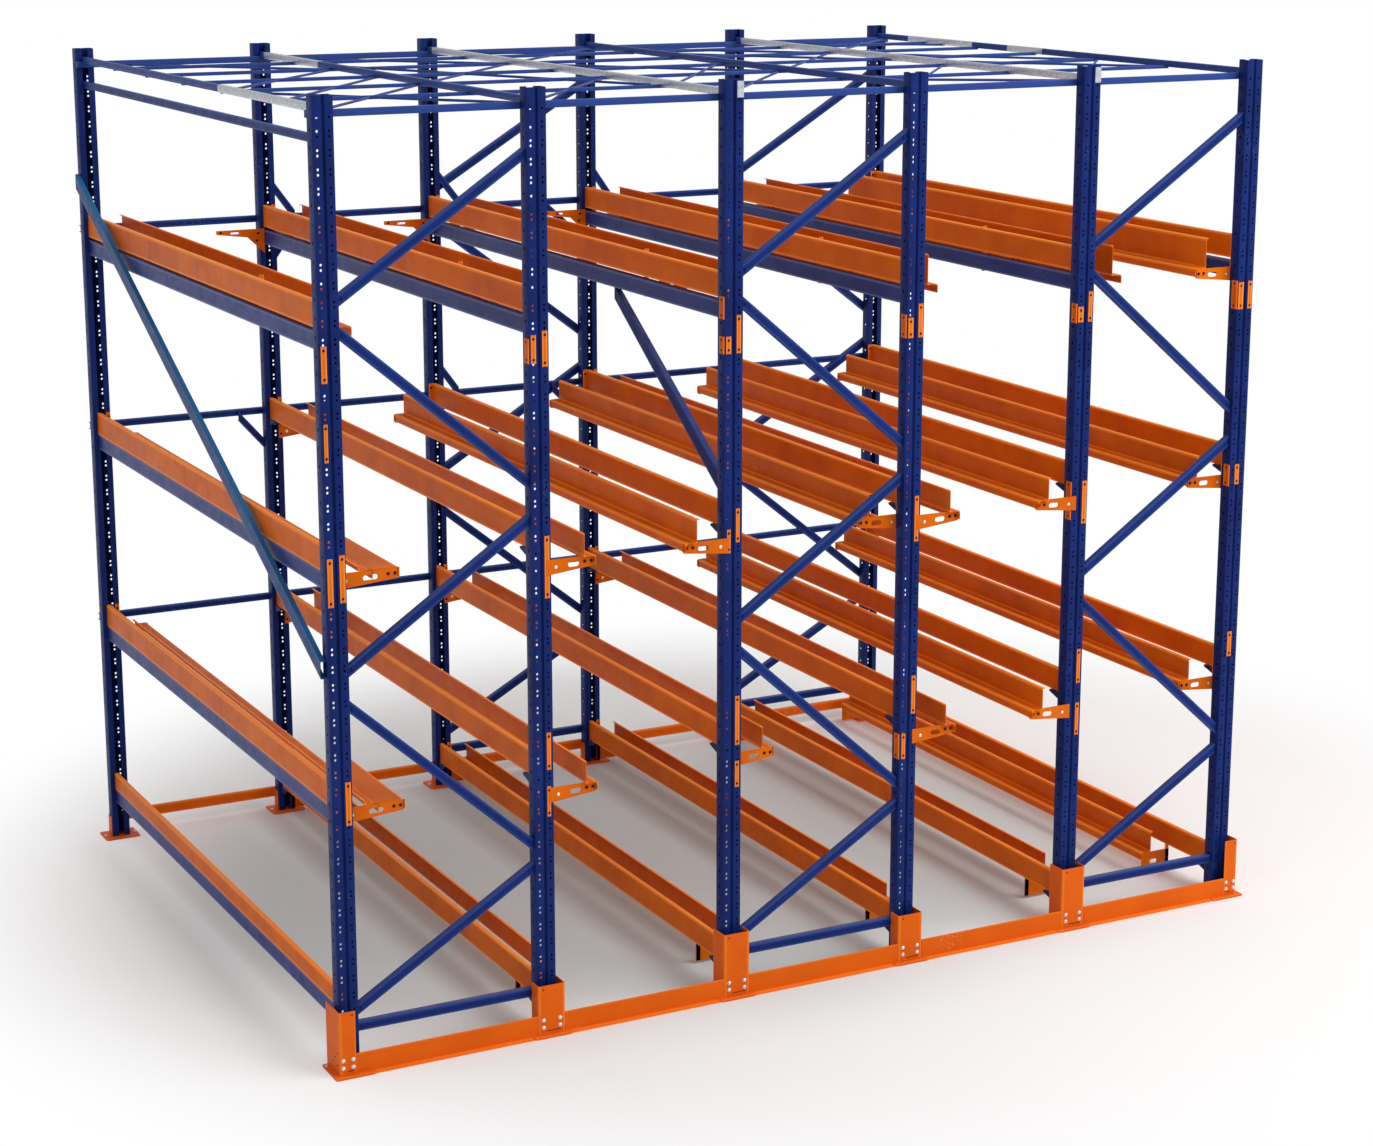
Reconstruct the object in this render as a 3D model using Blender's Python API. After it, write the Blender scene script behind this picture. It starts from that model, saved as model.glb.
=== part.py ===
# Drive-in pallet rack: twelve perforated uprights in two rows, guide rails on
# three levels and at the floor, lacing, roof ties, sills and upright protectors.
# Metres, +Z up. X runs along the front row, Y from the front row to the rear row.
# The origin is at the bottom centre of the whole rack.

import bpy
import math

# Driving dimensions of the rack
bayWidth = 1.22
bayCount = 5
rowDepth = 4.45
rackHeight = 5.45
touchGap = 0.0003

# Uprights
uprightWidth = 0.12
uprightDepth = 0.085
uprightWall = 0.003
lipLength = 0.04
grooveWidth = 0.014
grooveFloor = 0.008
grooveDepth = 0.01

# Base plates, sills and shoes
plateWidth = 0.24
plateThickness = 0.01
plateFront = 0.15
plateBack = 0.093
sillHeight = 0.13
sillWall = 0.005
sillFlange = 0.03
rearBarLow = 0.09
rearBarHeight = 0.07
rearBarDepth = 0.03
shoeHeight = 0.15
shoeWall = 0.005
shoeDepth = 0.07

# Upright protectors
protectorReach = 0.07
protectorWidth = 0.17
protectorWall = 0.005
protectorDeepFlange = 0.14
protectorTall = 0.395
protectorLow = 0.3
endProtectorHeight = 0.375
endProtectorFace = 0.097
endProtectorDepth = 0.21
lacingClearance = 0.002

# Guide rails: the first rail stands on the line, the second is held by arms beside it and
# stands a drop lower, given level by level from the top. The first line has its own sizes.
levelTops = (4.36, 3.02, 1.68)
railHeight = 0.15
railWall = 0.004
railWebOffset = 0.03
railFlange = 0.08
railTopLip = 0.025
railBottomLip = 0.02
armRailOffset = 0.25
armRailWidth = 0.07
armRailDrops = (0.01, 0.06, 0.06)
armShelfDrop = 0.2
endArmRailOffsets = (0.2, 0.16, 0.16)
endArmRailWidths = (0.07, 0.08, 0.08)
endArmRailDrops = (0.01, 0.125, 0.125)
endArmShelfDrops = (0.2, 0.16, 0.16)
landingReach = 0.39
landingLength = 0.8
landingLap = 0.03
landingLift = 0.001
armRailLip = 0.05
armRailTopLip = 0.015
railOverhang = 0.03
armRoot = 0.09
armTip = 0.06
armWall = 0.006
armBite = 0.002
armEndSpace = 0.012
connectorInner = 0.0285
connectorOuter = 0.058
connectorWall = 0.005
topArmSetback = 1.1
topRailSetbacks = (0.3, 0.7, 0.5, 0.3, 0.0, 0.0)

# Blue beams under the first rails
beamHeight = 0.1
beamHalfWidth = 0.027
beamWall = 0.004
beamSpaceTopLevel = 0.02

# Floor rails
floorRailTop = 0.33
floorSecondTop = 0.3
floorUpstand = 0.14
floorSecondOffset = 0.18
floorSecondSetback = 0.42
sideFloorRailTop = 0.47
sideFloorRailHeight = 0.115
floorBracketLow = 0.02

# Lacing, rear bracing, diagonals and roof ties
lacingWidth = 0.055
lacingDepth = 0.04
strapWidth = 0.006
rearBracingDepth = 0.035
rearTieHeight = 0.045
rearTieDrop = 0.08
diagonalWidth = 0.09
diagonalDepth = 0.03
innerDiagonalWidth = 0.04
roofTieWidth = 0.035
roofTieHeight = 0.04
roofCrossDepth = 0.03
lowerTieHeight = 0.045

# Heights of the lacing's bar ends, from its top end down, as shares of the rack's height
lacingEndShares = (0.935, 0.80, 0.77, 0.60, 0.56, 0.425, 0.39, 0.21, 0.185, 0.063, 0.045, 0.045)
outerDiagonalEndShares = (0.43, 0.84)
innerDiagonalFrontShare = 0.566
innerDiagonalBackShare = 0.325
roofTieShare = 0.99
roofCrossShare = 0.985
lowerTieShare = 0.961

# Sides on which each line carries arms, level by level: -1 is toward -X, 1 is toward +X
armSides = (
    ((1,), (1,), (1,), (1,), (1,), (-1,)),
    ((1,), (1,), (-1,), (-1, 1), (-1,), (-1,)),
    ((1,), (1,), (1,), (1,), (-1,), (-1,)),
)
floorSides = ((), (1,), (1,), (1,), (1,), (-1,))
lacedBays = (0, 2, 4)
rearLacedBays = (2, 4)
lineCount = bayCount + 1

# Sizes worked out from the driving dimensions
halfUpright = uprightWidth / 2
halfDepth = uprightDepth / 2
frontRowY = -rowDepth / 2 + (plateFront - plateBack) / 2
rearRowY = rowDepth / 2 + (plateFront - plateBack) / 2
frontInner = frontRowY + halfDepth + touchGap
rearInner = rearRowY - halfDepth - touchGap
frontOuter = frontRowY - halfDepth - touchGap
rearOuter = rearRowY + halfDepth + touchGap
protectorFace = -halfDepth - protectorReach

blue = (0.022, 0.041, 0.19)
orange = (0.62, 0.11, 0.022)
steelBlue = (0.03, 0.055, 0.22)


def clearScene():
    for item in list(bpy.data.objects):
        bpy.data.objects.remove(item, do_unlink=True)


def lineX(line):
    return (line - bayCount / 2) * bayWidth


def makeMaterial(name, colour, roughness, metallic):
    material = bpy.data.materials.new(name)
    material.use_nodes = True
    shader = material.node_tree.nodes["Principled BSDF"]
    shader.inputs["Base Color"].default_value = (*colour, 1.0)
    shader.inputs["Roughness"].default_value = roughness
    shader.inputs["Metallic"].default_value = metallic
    return material


# Offsets an open path sideways by the wall thickness and closes it into an outline.
# The path is the sheet's outer side, and the wall lies to the left of its direction.
def sheetOutline(path, wall):
    count = len(path)
    normals = []
    for start, end in zip(path[:-1], path[1:]):
        dx = end[0] - start[0]
        dy = end[1] - start[1]
        length = math.hypot(dx, dy)
        normals.append((-dy / length, dx / length))
    inner = []
    for index, point in enumerate(path):
        before = normals[max(index - 1, 0)]
        after = normals[min(index, count - 2)]
        share = 1.0 + before[0] * after[0] + before[1] * after[1]
        offset = ((before[0] + after[0]) / share, (before[1] + after[1]) / share)
        inner.append((point[0] + offset[0] * wall, point[1] + offset[1] * wall))
    return list(path) + inner[::-1]


def outlineArea(outline):
    following = outline[1:] + outline[:1]
    return sum(a[0] * b[1] - b[0] * a[1] for a, b in zip(outline, following)) / 2


# Extrudes an outline along one axis. The outline's two numbers are the other two axes
# in the order X, Y, Z.
def prism(outline, axis, low, high):
    turned = outline if outlineArea(outline) > 0 else outline[::-1]
    if axis == "Y":
        turned = turned[::-1]
    count = len(turned)
    place = {
        "X": lambda point, level: (level, point[0], point[1]),
        "Y": lambda point, level: (point[0], level, point[1]),
        "Z": lambda point, level: (point[0], point[1], level),
    }[axis]
    verts = [place(point, level) for level in (low, high) for point in turned]
    faces = [list(range(count))[::-1], list(range(count, 2 * count))]
    for index in range(count):
        after = (index + 1) % count
        faces.append([index, after, after + count, index + count])
    return verts, faces


def block(lows, highs):
    outline = [(lows[0], lows[1]), (highs[0], lows[1]), (highs[0], highs[1]), (lows[0], highs[1])]
    return prism(outline, "Z", lows[2], highs[2])


def makeObject(name, shape, location=(0, 0, 0)):
    mesh = bpy.data.meshes.new(name)
    mesh.from_pydata(shape[0], [], shape[1])
    mesh.validate()
    mesh.update()
    item = bpy.data.objects.new(name, mesh)
    item.location = location
    bpy.context.scene.collection.objects.link(item)
    return item


# Joins overlapping shapes into one body: the first is the piece and the others are its guides
def makeJoined(name, shapes, material, location=(0, 0, 0)):
    piece = makeObject(name, shapes[0], location)
    piece.data.materials.append(material)
    for index, shape in enumerate(shapes[1:]):
        guide = makeObject(f"{name}_guide_{index + 1}", shape, location)
        guide.hide_render = True
        guide.display_type = "WIRE"
        union = piece.modifiers.new(f"join_{index + 1}", "BOOLEAN")
        union.operation = "UNION"
        union.solver = "EXACT"
        union.object = guide
    return piece


# The web with its groove faces the aisle side, and the open side faces the other row
def makeUpright(name, line, rowY, facing, material):
    path = [
        (halfUpright - lipLength, halfDepth),
        (halfUpright, halfDepth),
        (halfUpright, -halfDepth),
        (grooveWidth, -halfDepth),
        (grooveFloor, -halfDepth + grooveDepth),
        (-grooveFloor, -halfDepth + grooveDepth),
        (-grooveWidth, -halfDepth),
        (-halfUpright, -halfDepth),
        (-halfUpright, halfDepth),
        (-halfUpright + lipLength, halfDepth),
    ]
    outline = [(x, y * facing) for x, y in sheetOutline(path, -uprightWall)]
    foot = plateThickness + touchGap
    piece = makeObject(name, prism(outline, "Z", foot, rackHeight), (lineX(line), rowY, 0))
    piece.data.materials.append(material)
    return piece


def firstRailShape(top, height, low, high):
    path = [
        (-railWebOffset + railTopLip, top),
        (-railWebOffset, top),
        (-railWebOffset, top - height),
        (railFlange - railWebOffset, top - height),
        (railFlange - railWebOffset, top - height + railBottomLip),
    ]
    return prism(sheetOutline(path, railWall), "Y", low, high)


# Rim, upstand, shelf and lip: the pallet stands on the shelf and the upstand guides its side
def secondRailShape(top, upstand, offset, width, side, low, high):
    shelf = top - upstand
    path = [
        (side * (offset - armRailTopLip), top - railWall),
        (side * offset, top - railWall),
        (side * offset, shelf),
        (side * (offset + width), shelf),
        (side * (offset + width), shelf - armRailLip),
    ]
    return prism(sheetOutline(path, side * railWall), "Y", low, high)


# The first line's lower shelves widen at the front with a plate that laps the rail and the arm
def landingShape(shelf, edge, side, low):
    top = shelf + landingLift
    path = [
        (side * (edge - landingLap), top),
        (side * landingReach, top),
        (side * landingReach, top - armRailLip),
    ]
    return prism(sheetOutline(path, side * railWall), "Y", low, low + landingLength)


def armShape(shelf, tip, side, root, low, high):
    top = shelf + armBite
    outline = [
        (side * root, top),
        (side * tip, top),
        (side * tip, top - armTip),
        (side * root, top - armRoot),
    ]
    return prism(outline, "Y", low, high)


# A vertical strip on the upright that ties a first rail's end to the arm's root below it
def connectorShape(top, bottom, side, low, high):
    edges = sorted((side * connectorInner, side * connectorOuter))
    return block((edges[0], low, bottom), (edges[1], high, top))


# In a laced bay the second rail stops behind the lacing, elsewhere it runs past the front row.
# On the top level it stops shorter, and its front arm hangs from the first rail instead.
def makeRailSet(name, line, level, sides, material):
    top = levelTops[level]
    shapes = [firstRailShape(top, railHeight, frontInner, rearInner)]
    offset = armRailOffset if line > 0 else endArmRailOffsets[level]
    width = armRailWidth if line > 0 else endArmRailWidths[level]
    drop = armRailDrops[level] if line > 0 else endArmRailDrops[level]
    shelfDrop = armShelfDrop if line > 0 else endArmShelfDrops[level]
    upstand = shelfDrop - drop
    tip = offset + width + armEndSpace
    landed = line == 0 and level > 0
    frontTip = landingReach + armEndSpace if landed else tip
    shelf = top - shelfDrop
    bottom = shelf + armBite - armRoot
    for side in sides:
        bay = line if side > 0 else line - 1
        laced = bay in lacedBays
        start = frontInner if laced else frontOuter - railOverhang
        if level == 0:
            start = start + topRailSetbacks[line]
        shapes.append(secondRailShape(top - drop, upstand, offset, width, side, start, rearInner))
        shapes.append(armShape(shelf, tip, side, connectorInner, rearInner - armWall, rearInner))
        shapes.append(connectorShape(top, bottom, side, rearInner - connectorWall, rearInner))
        if landed:
            shapes.append(landingShape(shelf, offset + width, side, start))
        if level == 0:
            low = frontInner + topArmSetback
            shapes.append(armShape(shelf, tip, side, connectorInner, low, low + armWall))
            shapes.append(connectorShape(top, bottom, side, low, low + connectorWall))
        elif laced:
            shapes.append(armShape(shelf, frontTip, side, connectorInner, frontInner,
                                   frontInner + armWall))
            shapes.append(connectorShape(top, bottom, side, frontInner, frontInner + connectorWall))
        else:
            shapes.append(armShape(shelf, tip, side, connectorInner, frontOuter - armWall, frontOuter))
    return makeJoined(name, shapes, material, (lineX(line), 0, 0))


# The second floor rail stops short at the front, where its bracket hangs from the first rail
def makeFloorRail(name, line, sides, material):
    if not sides:
        shapes = [firstRailShape(sideFloorRailTop, sideFloorRailHeight, frontInner, rearInner)]
        return makeJoined(name, shapes, material, (lineX(line), 0, 0))
    shapes = [firstRailShape(floorRailTop, railHeight, frontInner, rearInner)]
    shelf = floorSecondTop - floorUpstand
    hangerTop = floorRailTop - railHeight + railBottomLip - armBite
    for side in sides:
        start = frontInner + floorSecondSetback
        shapes.append(secondRailShape(floorSecondTop, floorUpstand, floorSecondOffset, armRailWidth, side,
                                      start, rearInner))
        edges = sorted((side * connectorInner, side * (floorSecondOffset + armRailWidth)))
        for low, top in ((start, hangerTop), (rearInner - armWall, floorRailTop)):
            high = low + armWall
            shapes.append(block((edges[0], low, floorBracketLow), (edges[1], high, shelf + armBite)))
            shapes.append(connectorShape(top, floorBracketLow, side, low, high))
    return makeJoined(name, shapes, material, (lineX(line), 0, 0))


def makeBeam(name, line, top, material):
    path = [
        (beamHalfWidth, top),
        (-beamHalfWidth, top),
        (-beamHalfWidth, top - beamHeight),
        (beamHalfWidth, top - beamHeight),
    ]
    shape = prism(sheetOutline(path, beamWall), "Y", frontInner, rearInner)
    piece = makeObject(name, shape, (lineX(line), 0, 0))
    piece.data.materials.append(material)
    return piece


# One zigzag of bars from the top down. Bars run in turn from the right end to the left
# end and back, and a narrow strap on the upright joins each pair of neighbouring ends.
# A bar's upper edge starts inside the strap before it, its lower edge ends inside the next.
def zigzagOutline(left, right, heights, width, strap):
    chains = ([], [])
    barCount = len(heights) // 2
    for bar in range(barCount):
        turn = -1 if bar % 2 == 0 else 1
        startX, endX = (right, left) if turn < 0 else (left, right)
        startZ, endZ = heights[2 * bar:2 * bar + 2]
        slope = (endZ - startZ) / (endX - startX)
        half = width / 2 * math.hypot(1, slope)
        startStrap = 0 if bar == 0 else strap
        endStrap = 0 if bar == barCount - 1 else strap
        upper = [(x, startZ + slope * (x - startX) + half) for x in (startX + turn * startStrap, endX)]
        lower = [(x, startZ + slope * (x - startX) - half) for x in (startX, endX - turn * endStrap)]
        chains[0].extend(upper if turn < 0 else lower)
        chains[1].extend(lower if turn < 0 else upper)
    return chains[0] + chains[1][::-1]


def makeLacing(name, bay, material):
    left = lineX(bay) + halfUpright + touchGap
    right = lineX(bay + 1) - halfUpright - touchGap
    heights = [share * rackHeight for share in lacingEndShares]
    outline = zigzagOutline(left, right, heights, lacingWidth, strapWidth)
    shape = prism(outline, "Y", -lacingDepth / 2, lacingDepth / 2)
    piece = makeObject(name, shape, (0, frontRowY, 0))
    piece.data.materials.append(material)
    return piece


# Long ties on three levels across the back of the rear row, with a zigzag in two bays
def makeRearBracing(name, material):
    low = rearOuter
    high = rearOuter + rearBracingDepth
    shapes = []
    for top in levelTops:
        tieTop = top - rearTieDrop
        lows = (lineX(0) - halfUpright, low, tieTop - rearTieHeight)
        highs = (lineX(bayCount) + halfUpright, high, tieTop)
        shapes.append(block(lows, highs))
    heights = [share * rackHeight for share in lacingEndShares]
    for bay in rearLacedBays:
        outline = zigzagOutline(lineX(bay), lineX(bay + 1), heights, lacingWidth, lacingWidth)
        shapes.append(prism(outline, "Y", low + armBite, high - armBite))
    return makeJoined(name, shapes, material)


# Front plates under the uprights, tied by an angle sill that is broken at each protector.
# The end protectors are narrower on their inner side, and the sill reaches to them there.
def makeFrontSill(name, material):
    shapes = []
    for line in range(lineCount):
        x = lineX(line)
        shapes.append(block((x - plateWidth / 2, frontRowY - plateFront, 0),
                            (x + plateWidth / 2, frontRowY + plateBack, plateThickness)))
    face = frontRowY + protectorFace
    for bay in range(bayCount):
        half = protectorWidth / 2
        left = lineX(bay) + (endProtectorFace - half if bay == 0 else half) + touchGap
        right = lineX(bay + 1) - (endProtectorFace - half if bay == bayCount - 1 else half) - touchGap
        path = [(face - sillFlange, 0), (face + sillWall, 0), (face + sillWall, sillHeight)]
        shapes.append(prism(sheetOutline(path, sillWall), "X", left, right))
    return makeJoined(name, shapes, material)


# Rear plates with a shoe round each upright and a low bar across the back
def makeRearSill(name, material):
    shapes = []
    sideX = halfUpright + touchGap
    for line in range(lineCount):
        x = lineX(line)
        shapes.append(block((x - plateWidth / 2, rearRowY - plateBack, 0),
                            (x + plateWidth / 2, rearRowY + plateBack, plateThickness)))
        side = -1 if line < bayCount else 1
        edges = sorted((x + side * sideX, x + side * (sideX + shoeWall)))
        shapes.append(block((edges[0], rearOuter + shoeWall - shoeDepth, armBite),
                            (edges[1], rearOuter + shoeWall, shoeHeight)))
        ends = sorted((x + side * (sideX + shoeWall), x - side * halfUpright))
        shapes.append(block((ends[0], rearOuter, armBite), (ends[1], rearOuter + shoeWall, shoeHeight)))
    shapes.append(block((lineX(0), rearOuter + armBite, rearBarLow),
                        (lineX(bayCount), rearOuter + rearBarDepth, rearBarLow + rearBarHeight)))
    return makeJoined(name, shapes, material)


# The end protectors are angles round the outer corner, the others wrap both sides.
# A side flange in a laced bay stops in front of the lacing.
def makeProtector(name, line, material):
    half = protectorWidth / 2
    face = protectorFace
    foot = plateThickness + touchGap
    if line in (0, bayCount):
        side = -1 if line == 0 else 1
        path = [
            (side * half, face + endProtectorDepth),
            (side * half, face),
            (side * (half - endProtectorFace), face),
        ]
        outline = sheetOutline(path, -side * protectorWall)
        top = foot + endProtectorHeight
    else:
        shallow = -lacingDepth / 2 - lacingClearance
        deep = face + protectorDeepFlange
        leftEnd = shallow if line - 1 in lacedBays else deep
        rightEnd = shallow if line in lacedBays else deep
        path = [(-half, leftEnd), (-half, face), (half, face), (half, rightEnd)]
        outline = sheetOutline(path, protectorWall)
        top = foot + (protectorTall if line in (2, 4) else protectorLow)
    piece = makeObject(name, prism(outline, "Z", foot, top), (lineX(line), frontRowY, 0))
    piece.data.materials.append(material)
    return piece


def slantedBar(startY, startZ, endY, endZ, width):
    half = width / 2 * math.hypot(endY - startY, endZ - startZ) / abs(endY - startY)
    return [(startY, startZ - half), (endY, endZ - half), (endY, endZ + half), (startY, startZ + half)]


def makeOuterDiagonal(name, material):
    startZ, endZ = (share * rackHeight for share in outerDiagonalEndShares)
    outline = slantedBar(frontRowY, startZ, rearRowY, endZ, diagonalWidth)
    side = -halfUpright - touchGap
    piece = makeObject(name, prism(outline, "X", side - diagonalDepth, side), (lineX(0), 0, 0))
    piece.data.materials.append(material)
    return piece


# Runs from the third line's front upright up to the underside of its top beam
def makeInnerDiagonal(name, material):
    beamUnderside = levelTops[0] - railHeight - beamSpaceTopLevel - beamHeight - touchGap
    frontZ = innerDiagonalFrontShare * rackHeight
    endY = frontInner + innerDiagonalBackShare * rowDepth
    outline = slantedBar(frontInner, frontZ, endY, beamUnderside, diagonalWidth)
    half = outline[3][1] - frontZ
    slope = (beamUnderside - frontZ) / (endY - frontInner)
    back = half / slope
    cut = [
        outline[0],
        (endY + back, beamUnderside),
        (endY - back, beamUnderside),
        outline[3],
    ]
    shape = prism(cut, "X", -innerDiagonalWidth / 2, innerDiagonalWidth / 2)
    piece = makeObject(name, shape, (lineX(2), 0, 0))
    piece.data.materials.append(material)
    return piece


# Cross ties along both rows with a tie on every line, and a second lower tie on the first line
def makeRoof(name, material):
    crossTop = roofCrossShare * rackHeight
    tieTop = roofTieShare * rackHeight
    left = lineX(0) - halfUpright
    right = lineX(bayCount) + halfUpright
    shapes = []
    for low in (frontInner, rearInner - roofCrossDepth):
        shapes.append(block((left, low, crossTop - roofTieHeight), (right, low + roofCrossDepth, crossTop)))
    half = roofTieWidth / 2
    for line in range(lineCount):
        x = lineX(line)
        shapes.append(block((x - half, frontInner + armBite, tieTop - roofTieHeight),
                            (x + half, rearInner - armBite, tieTop)))
    lowTop = lowerTieShare * rackHeight
    x = lineX(0)
    inset = 2 * armBite
    shapes.append(block((x - half, frontInner + inset, lowTop - lowerTieHeight),
                        (x + half, rearInner - inset, lowTop)))
    for low in (frontInner, rearInner - roofCrossDepth / 2):
        shapes.append(block((x - half + armBite, low, lowTop - roofTieHeight),
                            (x + half - armBite, low + roofCrossDepth / 2, crossTop - armBite)))
    return makeJoined(name, shapes, material)


def buildRack():
    clearScene()
    frameBlue = makeMaterial("frame_blue", blue, 0.42, 0.0)
    railOrange = makeMaterial("rail_orange", orange, 0.45, 0.0)
    braceBlue = makeMaterial("brace_blue", steelBlue, 0.45, 0.0)

    for line in range(lineCount):
        makeUpright(f"upright_front_{line + 1}", line, frontRowY, 1, frameBlue)
        makeUpright(f"upright_rear_{line + 1}", line, rearRowY, -1, frameBlue)
        makeProtector(f"protector_{line + 1}", line, railOrange)
        makeFloorRail(f"floor_rail_line{line + 1}", line, floorSides[line], railOrange)
        for level in range(len(levelTops)):
            sides = armSides[level][line]
            makeRailSet(f"rails_line{line + 1}_level{level + 1}", line, level, sides, railOrange)
        topBeam = levelTops[0] - railHeight - beamSpaceTopLevel
        makeBeam(f"beam_line{line + 1}_level1", line, topBeam, frameBlue)
    for level in (1, 2):
        makeBeam(f"beam_line1_level{level + 1}", 0, levelTops[level] - railHeight - touchGap, frameBlue)
    makeBeam("beam_line1_floor", 0, sideFloorRailTop - sideFloorRailHeight - touchGap, frameBlue)

    for bay in lacedBays:
        makeLacing(f"lacing_front_{bay + 1}_{bay + 2}", bay, braceBlue)
    makeRearBracing("rear_bracing", braceBlue)
    makeOuterDiagonal("side_diagonal_outer", braceBlue)
    makeInnerDiagonal("side_diagonal_inner", braceBlue)
    makeRoof("roof_ties", braceBlue)
    makeFrontSill("front_sill", railOrange)
    makeRearSill("rear_sill", railOrange)


buildRack()
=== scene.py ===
import math

import bmesh
import bpy
import numpy as np
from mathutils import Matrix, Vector
from mathutils.geometry import tessellate_polygon


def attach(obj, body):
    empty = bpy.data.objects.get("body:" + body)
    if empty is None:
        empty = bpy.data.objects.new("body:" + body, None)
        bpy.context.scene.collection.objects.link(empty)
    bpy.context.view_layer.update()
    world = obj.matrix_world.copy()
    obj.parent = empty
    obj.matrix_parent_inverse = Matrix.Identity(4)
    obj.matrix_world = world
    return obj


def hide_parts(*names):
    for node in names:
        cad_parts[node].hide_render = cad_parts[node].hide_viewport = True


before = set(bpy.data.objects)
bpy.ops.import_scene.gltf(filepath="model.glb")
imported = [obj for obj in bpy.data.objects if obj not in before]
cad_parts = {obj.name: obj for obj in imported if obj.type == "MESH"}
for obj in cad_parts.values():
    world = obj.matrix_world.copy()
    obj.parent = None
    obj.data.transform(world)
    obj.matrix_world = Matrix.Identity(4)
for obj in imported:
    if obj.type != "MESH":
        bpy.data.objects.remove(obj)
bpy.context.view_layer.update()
scene = bpy.context.scene

# Places taken over from the CAD: lines along X, rows along Y, rail levels along Z
rack = {
    "bay": 1.22, "lines": 6, "height": 5.45, "gap": 0.0003,
    "rows": (-2.1965, 2.2535), "uprightWidth": 0.12, "uprightDepth": 0.085,
    "levels": (4.36, 3.02, 1.68), "lacedBays": (0, 2, 4), "rearLacedBays": (2, 4),
}
lineX = (np.arange(rack["lines"]) - (rack["lines"] - 1) / 2) * rack["bay"]
lineCount = rack["lines"]
rackHeight = rack["height"]
railTops = rack["levels"]
gap = rack["gap"]
frontRow, rearRow = rack["rows"]
uprightHalf = rack["uprightWidth"] / 2
uprightHalfDepth = rack["uprightDepth"] / 2
# how far from a row and from a line a part stands that touches an upright
reach = uprightHalfDepth + gap
beside = uprightHalf + gap
frontInner = frontRow + reach
frontOuter = frontRow - reach
rearInner = rearRow - reach
rearOuter = rearRow + reach
rackLeft = lineX[0] - uprightHalf
rackRight = lineX[-1] + uprightHalf


# Materials

def hexColour(text):
    # sRGB hex to linear: a power curve of 2.4 above 0.04, a straight line below it
    share = np.array([int(text[at:at + 2], 16) for at in (1, 3, 5)]) / 255
    linear = np.where(share > 0.04045, ((share + 0.055) / 1.055) ** 2.4, share / 12.92)
    return (*(float(value) for value in linear), 1.0)


# A shader node: settings by input or by property, links as pairs of input and source
def addNode(tree, kind, settings=None, links=()):
    node = tree.nodes.new("ShaderNode" + kind)
    for key, value in (settings or {}).items():
        if isinstance(key, int) or key in node.inputs:
            node.inputs[key].default_value = value
        else:
            setattr(node, key, value)
    for target, source in links:
        tree.links.new(source, node.inputs[target])
    return node


# Noise in the object's own metres, its grains about as wide as the size
def noise(tree, place, size, detail, roughness=0.5):
    settings = {"Scale": 1 / size, "Detail": detail, "Roughness": roughness}
    return addNode(tree, "TexNoise", settings, [("Vector", place)]).outputs[0]


# A value's share of the way through a band, held between 0 and 1 and spread over start to end
def spread(tree, value, band, start=0.0, end=1.0, curve="LINEAR"):
    settings = {"interpolation_type": curve, 1: band[0], 2: band[1], 3: start, 4: end}
    return addNode(tree, "MapRange", settings, [(0, value)]).outputs[0]


# Two values put together by a named operation; the second one is a number or an output
def combine(tree, operation, first, second):
    settings = {"operation": operation}
    links = [(0, first)]
    if isinstance(second, float):
        settings[1] = second
    else:
        links.append((1, second))
    return addNode(tree, "Math", settings, links).outputs[0]


# A colour covered by a share of the one above it; below is a hex text or an output
def blend(tree, share, below, above):
    settings = {"data_type": "RGBA", 7: hexColour(above)}
    links = [(0, share)]
    if isinstance(below, str):
        settings[6] = hexColour(below)
    else:
        links.append((6, below))
    return addNode(tree, "Mix", settings, links).outputs[2]


# A material with its tree, its shader's inputs and the object's coordinates
def newMaterial(name, shaderSettings):
    material = bpy.data.materials.new(name)
    material.use_nodes = True
    shader = material.node_tree.nodes["Principled BSDF"]
    for key, value in shaderSettings.items():
        shader.inputs[key].default_value = value
    place = addNode(material.node_tree, "TexCoord").outputs["Object"]
    return material, material.node_tree, shader.inputs, place


noiseBand = (0.3, 0.7)
# noises are a size in metres, a detail and, for the drift, a roughness
coat = {
    "highlightBand": 0.011,           # metres, width of the painted highlight band beside a fold or a rim
    "drift": (0.45, 3.0, 0.6),   # slow change of shade along a bar
    "driftBand": (0.32, 0.68),
    "peel": (0.004, 1.0),        # orange peel is 1 to 2 mm, drawn at 4 mm so that it shows
    "peelBump": {"Strength": 0.25, "Distance": 0.00012},
    "speck": (0.012, 2.0),       # rubbed spots of about a pallet board's nails
    "patch": (1 / 2.3, 1.0),     # the stretches where spots lie together
    "rubBand": (0.41, 0.47),     # where the product of both noises begins to show and is full
    "dust": (0.09, 4.0),
    "dustColour": "#CFC6BC",
    "dustSlope": (0.75, 1.0),
    "mattBelow": 0.05, "mattAbove": 0.07,
    "shader": {"Metallic": 0.0, "IOR": 1.5, "Specular IOR Level": 0.1},
}
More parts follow.
